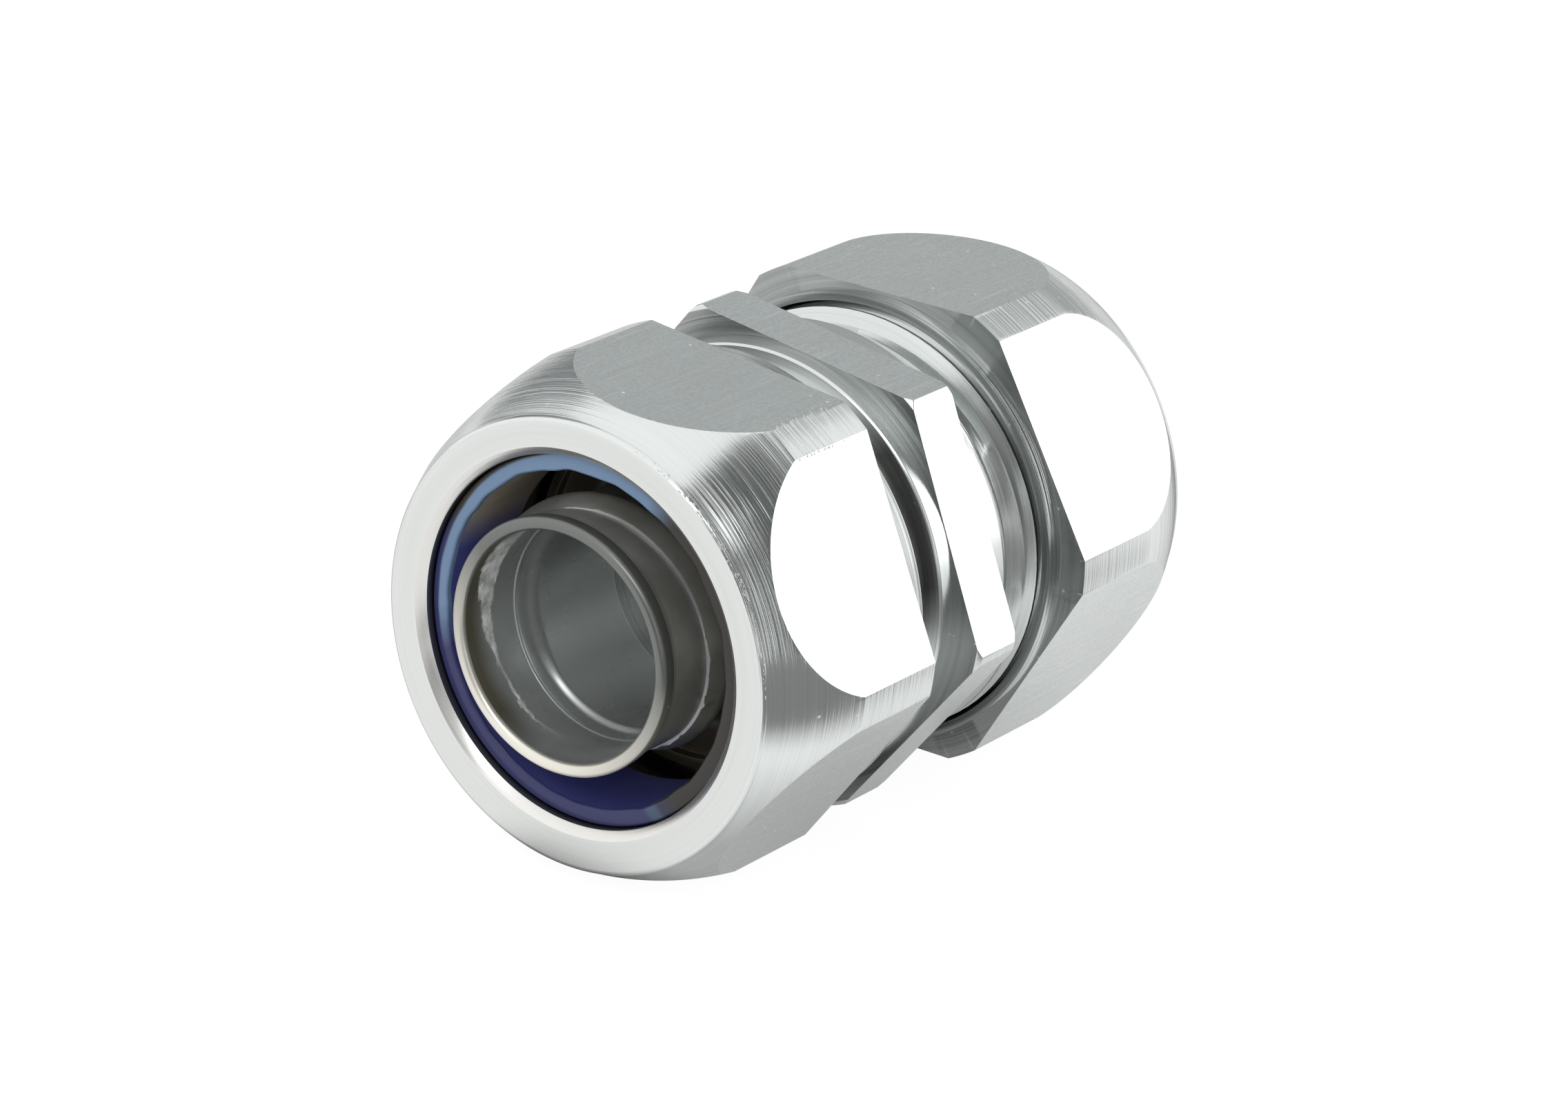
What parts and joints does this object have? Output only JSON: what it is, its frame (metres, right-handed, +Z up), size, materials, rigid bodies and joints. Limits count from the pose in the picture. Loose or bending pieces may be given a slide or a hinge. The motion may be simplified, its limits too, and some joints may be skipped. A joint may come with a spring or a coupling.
{
  "type": "tube fitting",
  "caption": "Straight threaded coupling for flexible conduit: hex collar body, domed hex nuts, blue seal rings and ferrules with a helical ridge.",
  "frame": {"origin": "on the floor under the middle of the hex collar", "axes": "+X along the bore from the front nut to the rear nut, +Z up"},
  "size_m": [0.0454, 0.0334, 0.0308],
  "materials": {
    "plated_steel": "bright zinc plate over turned steel",
    "blue_plastic": "smooth moulded navy plastic",
    "ferrule_steel": "plated rolled steel"
  },
  "bodies": {
    "coupling_body": {"coupling_body": "plated_steel", "front_ferrule": "ferrule_steel", "rear_ferrule": "ferrule_steel"},
    "front_seal_ring": {"front_seal_ring": "blue_plastic"},
    "front_nut": {"front_nut": "plated_steel"},
    "rear_seal_ring": {"rear_seal_ring": "blue_plastic"},
    "rear_nut": {"rear_nut": "plated_steel"}
  },
  "joints": [
    {"name": "front_nut_travel", "type": "slide", "parent": "coupling_body", "child": "front_seal_ring", "axis": [1, 0, 0], "range_m": [-0.00401, 0.00401]},
    {"name": "front_nut_turn", "type": "hinge", "parent": "front_seal_ring", "child": "front_nut", "pos_m": [-0.01455, 0, 0.01539], "axis": [1, 0, 0], "range_deg": [-960, 960]},
    {"name": "rear_nut_travel", "type": "slide", "parent": "coupling_body", "child": "rear_seal_ring", "axis": [-1, 0, 0], "range_m": [-0.00306, 0.00496]},
    {"name": "rear_nut_turn", "type": "hinge", "parent": "rear_seal_ring", "child": "rear_nut", "pos_m": [0.0155, 0, 0.01539], "axis": [-1, 0, 0], "range_deg": [-732, 1188]}
  ],
  "couplings": [
    {"joint": "front_nut_travel", "follows": "front_nut_turn", "m_per_rad": 0.00023873},
    {"joint": "rear_nut_travel", "follows": "rear_nut_turn", "m_per_rad": 0.00023873}
  ]
}
